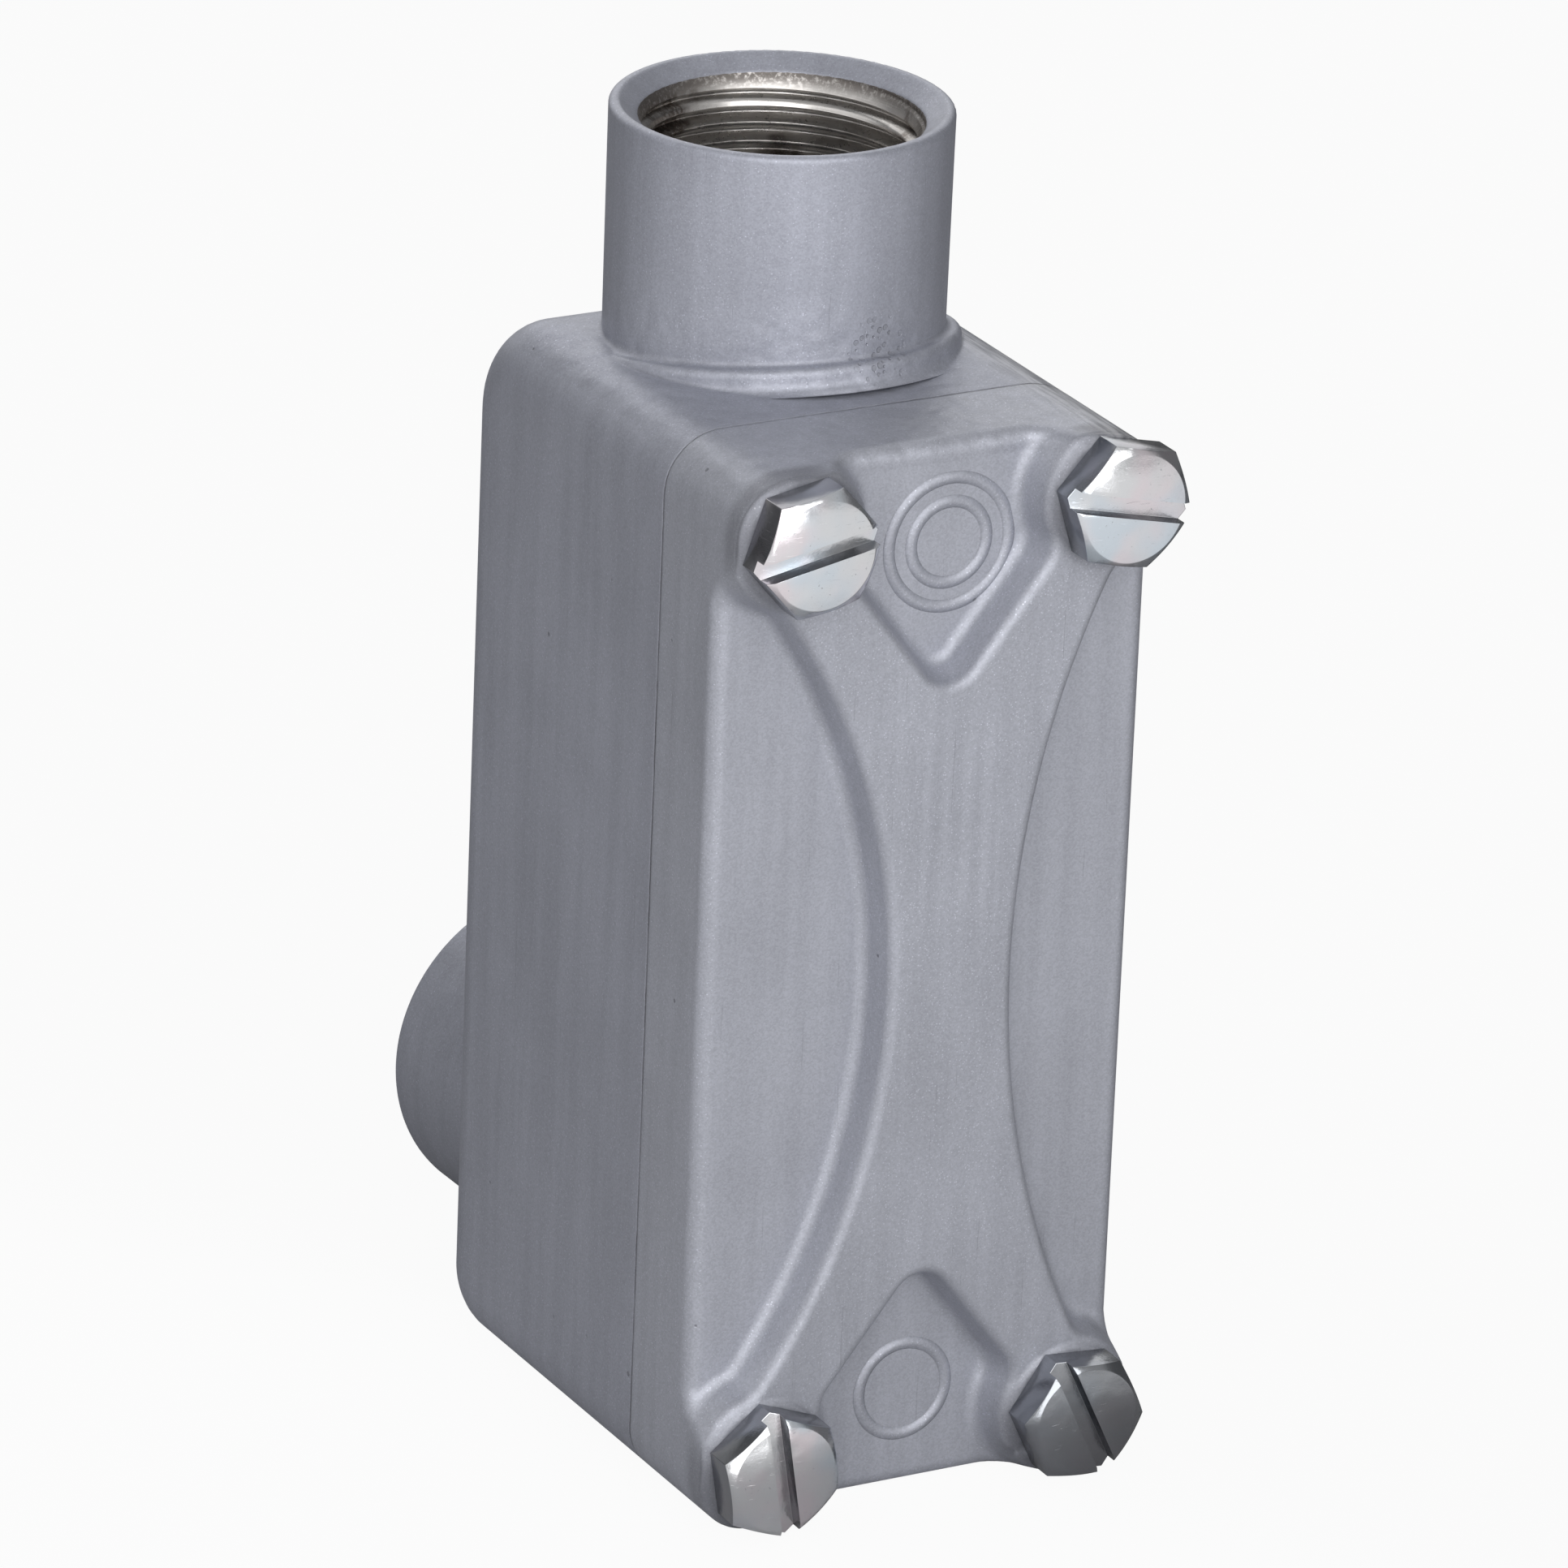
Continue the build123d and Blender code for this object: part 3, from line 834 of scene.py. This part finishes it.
def shank_radius(node_name):
    """Radius of a CAD screw's plain shank."""
    low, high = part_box(node_name)
    centre = (low + high) / 2
    verts = frame["nodes"][node_name].data.vertices
    shank = [vert.co for vert in verts if vert.co.y > SEAT_Y + JUST_BELOW]
    return max(Vector((co.x - centre.x, co.z - centre.z)).length for co in shank)


# Stage

def away_from_object(turn, rise):
    """The direction that lies a turn round from the object's front and a rise above the horizon."""
    return Vector((sin(turn) * cos(rise), -cos(turn) * cos(rise), sin(rise)))


def camera_axes(looks):
    """The camera's right, up and back directions."""
    back = away_from_object(looks.azimuth, looks.elevation)
    right = (-back).cross(Vector((0, 0, 1))).normalized()
    up = right.cross(-back)
    rolled_right = cos(looks.roll) * right + sin(looks.roll) * up
    rolled_up = -sin(looks.roll) * right + cos(looks.roll) * up
    return rolled_right, rolled_up, back


def add_camera(looks):
    """The camera at the photograph's view."""
    data = bpy.data.cameras.new("view_camera")
    data.lens = looks.lens
    data.sensor_width = 36.0
    data.clip_start = 0.05
    data.clip_end = 50.0
    camera = bpy.data.objects.new("view_camera", data)
    bpy.context.scene.collection.objects.link(camera)
    right, up, back = camera_axes(looks)
    place = Vector(looks.target) + back * looks.distance
    columns = Matrix((right, up, back)).transposed().to_4x4()
    camera.matrix_world = Matrix.Translation(place) @ columns
    bpy.context.scene.camera = camera


def add_lamp(name, azimuth, elevation, distance, size, level):
    """A square soft lamp that faces the object, with a level where 1 shows a colour as written."""
    data = bpy.data.lights.new(name, "AREA")
    data.shape = "SQUARE"
    data.size = size
    data.energy = level * pi**2 * distance**2
    lamp = bpy.data.objects.new(name, data)
    bpy.context.scene.collection.objects.link(lamp)
    away = away_from_object(radians(azimuth), radians(elevation))
    middle = (CAD_LOW + CAD_HIGH) / 2
    turn = away.to_track_quat("Z", "Y").to_matrix().to_4x4()
    lamp.matrix_world = Matrix.Translation(middle + away * distance) @ turn


def show_white(graph, dim, white, camera_share, gloss_share):
    """Mixes a plain shader with white light that only the camera, gloss and glass see."""
    seen = graph.add("LightPath").outputs
    glossy = graph.math("MULTIPLY", seen["Is Glossy Ray"], gloss_share)
    direct = graph.math("MULTIPLY", seen["Is Camera Ray"], camera_share)
    direct = graph.math("MAXIMUM", direct, glossy)
    direct = graph.math("MAXIMUM", direct, seen["Is Transmission Ray"])
    mix = graph.add("MixShader", {0: direct, 1: dim, 2: white})
    return mix.outputs[0]


def toward(graph, way, direction):
    """How far one direction points along another, from -1 to 1."""
    return graph.add("VectorMath", {0: way, 1: direction}, operation="DOT_PRODUCT").outputs["Value"]


def add_floor(looks):
    """The round floor: white to the camera, with painted shade beside and close to the object that light
    and gloss see.
    """
    material, graph, shader = new_material("Pale Floor")
    place, _ = place_in_mm(graph)
    flat = graph.vector("MULTIPLY", place, (1, 1, 0))
    reach = graph.add("VectorMath", {0: flat}, operation="LENGTH").outputs["Value"]
    way = graph.vector("NORMALIZE", flat)
    ahead = toward(graph, way, away_from_object(radians(-20), 0))
    leftward = toward(graph, way, away_from_object(radians(-60), 0))
    # Painted shade on the floor, close to the object and away from its front left
    near = graph.math("MAXIMUM", graph.span(reach, 40, 400, 0.30, 0.0),
                      graph.span(leftward, -0.1, 0.6, 0.65, 0.0))
    surface = graph.blend(near, tuple(looks.floor_colour), (0.02, 0.02, 0.02))
    gloss = graph.product(graph.span(ahead, -0.09, 0.42, 0.0, 0.8), graph.span(reach, 30, 170))
    set_inputs(graph, shader, {"Base Color": surface, "Roughness": 0.85, "Specular IOR Level": 0.1})
    glow = graph.add("Emission", {"Color": (1, 1, 1, 1), "Strength": 1.0})
    output = next(node for node in graph.tree.nodes if node.type == "OUTPUT_MATERIAL")
    mixed = show_white(graph, shader.outputs[0], glow.outputs[0], 0.95, gloss)
    graph.tree.links.new(mixed, output.inputs["Surface"])
    bm = bmesh.new()
    bmesh.ops.create_circle(bm, cap_ends=True, segments=96, radius=looks.floor_radius)
    mesh = bpy.data.meshes.new("floor")
    bm.to_mesh(mesh)
    bm.free()
    mesh.materials.append(material)
    floor = bpy.data.objects.new("floor", mesh)
    floor.location.z = CAD_LOW.z - 0.00005
    bpy.context.scene.collection.objects.link(floor)


def dark_screens(graph, way):
    """Dark screens beside the object, which only gloss sees, as a share for one direction of view."""
    screens = []
    for turn, rise, near, far in DARK_SCREENS:
        centre = away_from_object(radians(turn), radians(rise))
        spread = graph.math("ARCCOSINE", toward(graph, way, centre))
        screens.append(graph.span(spread, radians(near), radians(far), SCREEN_SHARE, 0.0))
    total = screens[0]
    for screen in screens[1:]:
        total = graph.math("MAXIMUM", total, screen)
    return total


def add_world(looks):
    """Even light from all sides, white where the camera or gloss looks past the floor."""
    world = bpy.data.worlds.new("studio")
    bpy.context.scene.world = world
    world.use_nodes = True
    tree = world.node_tree
    tree.nodes.clear()
    graph = Graph(tree)
    dim = graph.add("Background", {"Color": (0.93, 0.96, 1.0, 1.0), "Strength": looks.fill})
    white = graph.add("Background", {"Color": (1, 1, 1, 1), "Strength": 1.0})
    output = graph.add("OutputWorld")
    way = graph.add("TexCoord").outputs["Generated"]
    bright = graph.math("MULTIPLY", graph.math("SUBTRACT", 1.0, dark_screens(graph, way)), looks.walls)
    mixed = show_white(graph, dim.outputs[0], white.outputs[0], 1.0, bright)
    tree.links.new(mixed, output.inputs["Surface"])


# Operators

class CONDUIT_OT_paint(bpy.types.Operator):
    """Paint the casting and the cover"""

    bl_idname = "conduit.paint"
    bl_label = "Paint Casting and Cover"

    def execute(self, context):
        looks = context.scene.conduit_paint
        make_effects()
        for node, base in (("conduit_body", looks.body_colour), ("cover", looks.cover_colour)):
            mesh = frame["nodes"][node].data
            mesh.materials.clear()
            mesh.materials.append(paint_material("Flake Paint " + node, base, looks))
        return {"FINISHED"}


class CONDUIT_OT_hub_threads(bpy.types.Operator):
    """Cut the taper thread into both hubs"""

    bl_idname = "conduit.hub_threads"
    bl_label = "Cut Hub Threads"

    def execute(self, context):
        sizes = context.scene.conduit_thread
        material = thread_material(sizes)
        hub_thread("top_hub_thread", MOUNTS["top_hub"], sizes, material)
        hub_thread("back_hub_thread", MOUNTS["back_hub"], sizes, material)
        return {"FINISHED"}


class CONDUIT_OT_cover_rings(bpy.types.Operator):
    """Cast the plain rings on the cover's ends"""

    bl_idname = "conduit.cover_rings"
    bl_label = "Cast Cover Rings"

    def execute(self, context):
        sizes = context.scene.conduit_rings
        material = frame["nodes"]["cover"].data.materials[0]
        low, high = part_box("cover")
        top = high.z - sizes.end_distance
        bottom = low.z + sizes.end_distance
        cast_ring("cover_ring_top", sizes.top_radius, sizes.top_x, top, sizes, material)
        cast_ring("cover_ring_top_inner", sizes.top_inner_radius, sizes.top_x, top, sizes, material)
        cast_ring("cover_ring_bottom", sizes.bottom_radius, sizes.bottom_x, bottom, sizes, material)
        return {"FINISHED"}


class CONDUIT_OT_screws(bpy.types.Operator):
    """Build the four plated cover screws"""

    bl_idname = "conduit.screws"
    bl_label = "Build Cover Screws"

    def execute(self, context):
        looks = context.scene.conduit_screws
        material = zinc_material(looks)
        for place in SCREW_PLACES:
            cover_screw(place, looks, material)
        return {"FINISHED"}


class CONDUIT_OT_stage(bpy.types.Operator):
    """Set up the floor, the light and the camera"""

    bl_idname = "conduit.stage"
    bl_label = "Set Up Stage"

    def execute(self, context):
        looks = context.scene.conduit_stage
        add_camera(looks)
        add_floor(looks)
        add_world(looks)
        for lamp in LAMPS:
            add_lamp(*lamp)
        context.scene.view_settings.view_transform = "Standard"
        return {"FINISHED"}


OPERATORS = (CONDUIT_OT_paint, CONDUIT_OT_hub_threads, CONDUIT_OT_cover_rings, CONDUIT_OT_screws,
             CONDUIT_OT_stage)
GROUPS = {
    "conduit_paint": PaintLooks,
    "conduit_thread": ThreadSizes,
    "conduit_rings": RingSizes,
    "conduit_screws": ScrewLooks,
    "conduit_stage": StageLooks,
}


class CONDUIT_PT_panel(bpy.types.Panel):
    """Lists the steps and their sizes"""

    bl_idname = "CONDUIT_PT_panel"
    bl_label = "Conduit Body"
    bl_space_type = "VIEW_3D"
    bl_region_type = "UI"
    bl_category = "Conduit Body"

    def draw(self, context):
        for operator, (attribute, group) in zip(OPERATORS, GROUPS.items()):
            box = self.layout.box()
            box.operator(operator.bl_idname)
            for key in group.__annotations__:
                box.prop(getattr(context.scene, attribute), key)


def register():
    for cls in (*GROUPS.values(), *OPERATORS, CONDUIT_PT_panel):
        bpy.utils.register_class(cls)
    for attribute, group in GROUPS.items():
        setattr(bpy.types.Scene, attribute, PointerProperty(type=group))


def unregister():
    for attribute in GROUPS:
        delattr(bpy.types.Scene, attribute)
    for cls in reversed((*GROUPS.values(), *OPERATORS, CONDUIT_PT_panel)):
        bpy.utils.unregister_class(cls)


def main():
    """Runs every step in order."""
    register()
    bpy.ops.conduit.paint()
    bpy.ops.conduit.hub_threads()
    bpy.ops.conduit.cover_rings()
    bpy.ops.conduit.screws()
    bpy.ops.conduit.stage()


if __name__ == "__main__":
    main()
